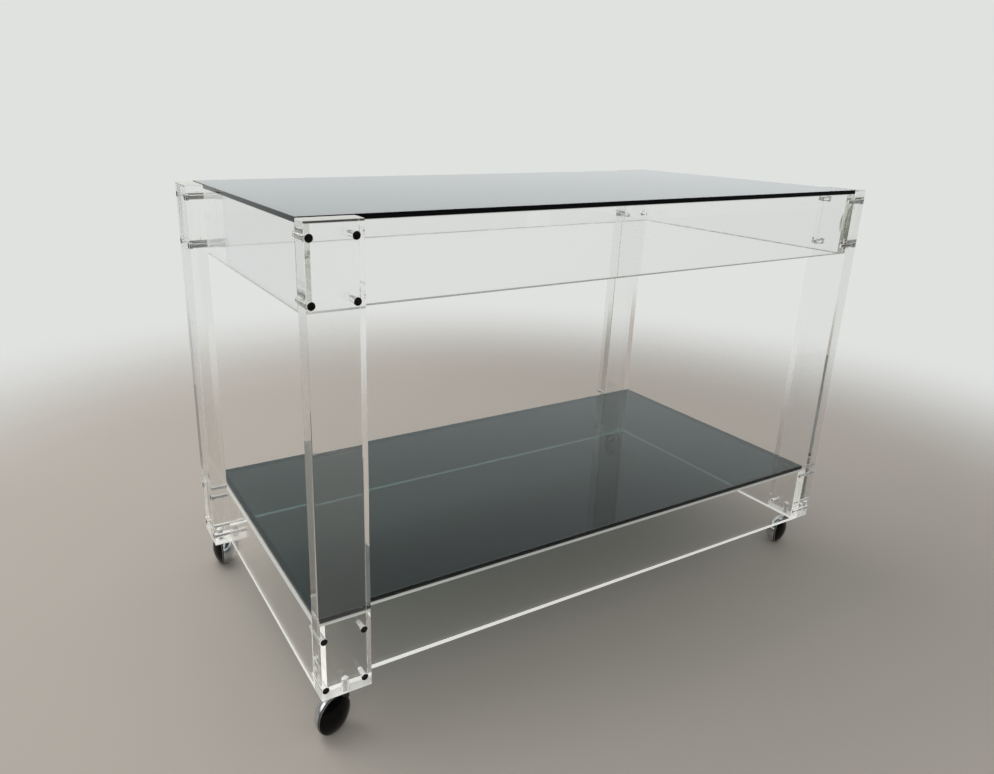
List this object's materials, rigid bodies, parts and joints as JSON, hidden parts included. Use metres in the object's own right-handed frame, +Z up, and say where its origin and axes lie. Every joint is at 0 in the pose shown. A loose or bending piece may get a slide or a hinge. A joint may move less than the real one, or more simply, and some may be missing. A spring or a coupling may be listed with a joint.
{
  "type": "serving trolley",
  "caption": "Low serving trolley: smoked glass shelves on clear acrylic aprons and legs screwed together at the corners, rolling on chromed ball casters.",
  "frame": {"origin": "on the floor under the middle of the trolley, at the bottom centre of its bounding box", "axes": "+X along the long side, to the right seen from the front; +Y from front to back; +Z up"},
  "size_m": [0.9508, 0.5068, 0.63],
  "materials": {
    "smoked_glass": "float glass tinted in the mass, dark grey, with polished edges",
    "clear_acrylic": "cast acrylic, water-clear, faces as cast and edges flame-polished",
    "zinc_plated_steel": "zinc-plated machine screw",
    "black_cap": "moulded black polyethylene cap",
    "natural_nylon": "moulded natural nylon",
    "bright_steel": "turned steel, bright zinc",
    "spring_steel": "blued spring steel",
    "black_nylon": "moulded black nylon",
    "chrome_dome": "bright chromium plate on a moulded dome",
    "glossy_black_plastic": "moulded black plastic, high gloss",
    "grey_rubber": "moulded grey rubber tread"
  },
  "bodies": {
    "frame": {"top_glass": "smoked_glass", "lower_glass": "smoked_glass", "front_left_leg": "clear_acrylic", "front_right_leg": "clear_acrylic", "back_right_leg": "clear_acrylic", "back_left_leg": "clear_acrylic", "upper_front_apron": "clear_acrylic", "upper_right_apron": "clear_acrylic", "upper_back_apron": "clear_acrylic", "upper_left_apron": "clear_acrylic", "lower_front_apron": "clear_acrylic", "lower_right_apron": "clear_acrylic", "lower_back_apron": "clear_acrylic", "lower_left_apron": "clear_acrylic", "front_left_leg_screws": "zinc_plated_steel", "front_left_screw_caps": "black_cap", "front_left_socket": "natural_nylon", "front_right_leg_screws": "zinc_plated_steel", "front_right_screw_caps": "black_cap", "front_right_socket": "natural_nylon", "back_right_leg_screws": "zinc_plated_steel", "back_right_screw_caps": "black_cap", "back_right_socket": "natural_nylon", "back_left_leg_screws": "zinc_plated_steel", "back_left_screw_caps": "black_cap", "back_left_socket": "natural_nylon"},
    "front_left_caster": {"front_left_stem": "bright_steel", "front_left_grip_ring": "spring_steel", "front_left_carrier": "black_nylon", "front_left_dome_cover": "chrome_dome"},
    "front_left_wheel_set": {"front_left_wheel": "glossy_black_plastic", "front_left_tyre": "grey_rubber", "front_left_axle": "bright_steel", "front_left_axle_washer": "spring_steel"},
    "front_right_caster": {"front_right_stem": "bright_steel", "front_right_grip_ring": "spring_steel", "front_right_carrier": "black_nylon", "front_right_dome_cover": "chrome_dome"},
    "front_right_wheel_set": {"front_right_wheel": "glossy_black_plastic", "front_right_tyre": "grey_rubber", "front_right_axle": "bright_steel", "front_right_axle_washer": "spring_steel"},
    "back_right_caster": {"back_right_stem": "bright_steel", "back_right_grip_ring": "spring_steel", "back_right_carrier": "black_nylon", "back_right_dome_cover": "chrome_dome"},
    "back_right_wheel_set": {"back_right_wheel": "glossy_black_plastic", "back_right_tyre": "grey_rubber", "back_right_axle": "bright_steel", "back_right_axle_washer": "spring_steel"},
    "back_left_caster": {"back_left_stem": "bright_steel", "back_left_grip_ring": "spring_steel", "back_left_carrier": "black_nylon", "back_left_dome_cover": "chrome_dome"},
    "back_left_wheel_set": {"back_left_wheel": "glossy_black_plastic", "back_left_tyre": "grey_rubber", "back_left_axle": "bright_steel", "back_left_axle_washer": "spring_steel"}
  },
  "joints": [
    {"name": "front_left_swivel", "type": "hinge", "parent": "frame", "child": "front_left_caster", "pos_m": [-0.4179, -0.2379, 0.06], "axis": [0, 0, 1], "continuous": true},
    {"name": "front_left_wheel_roll", "type": "hinge", "parent": "front_left_caster", "child": "front_left_wheel_set", "pos_m": [-0.43097, -0.24292, 0.026], "axis": [-0.3584, 0.9336, 0], "continuous": true},
    {"name": "front_right_swivel", "type": "hinge", "parent": "frame", "child": "front_right_caster", "pos_m": [0.4629, -0.1929, 0.06], "axis": [0, 0, 1], "continuous": true},
    {"name": "front_right_wheel_roll", "type": "hinge", "parent": "front_right_caster", "child": "front_right_wheel_set", "pos_m": [0.44983, -0.19792, 0.026], "axis": [-0.3584, 0.9336, 0], "continuous": true},
    {"name": "back_right_swivel", "type": "hinge", "parent": "frame", "child": "back_right_caster", "pos_m": [0.4179, 0.2379, 0.06], "axis": [0, 0, 1], "continuous": true},
    {"name": "back_right_wheel_roll", "type": "hinge", "parent": "back_right_caster", "child": "back_right_wheel_set", "pos_m": [0.43097, 0.24292, 0.026], "axis": [0.3584, -0.9336, 0], "continuous": true},
    {"name": "back_left_swivel", "type": "hinge", "parent": "frame", "child": "back_left_caster", "pos_m": [-0.4629, 0.1929, 0.06], "axis": [0, 0, 1], "continuous": true},
    {"name": "back_left_wheel_roll", "type": "hinge", "parent": "back_left_caster", "child": "back_left_wheel_set", "pos_m": [-0.46217, 0.20688, 0.026], "axis": [0.9986, -0.0523, 0], "continuous": true}
  ]
}
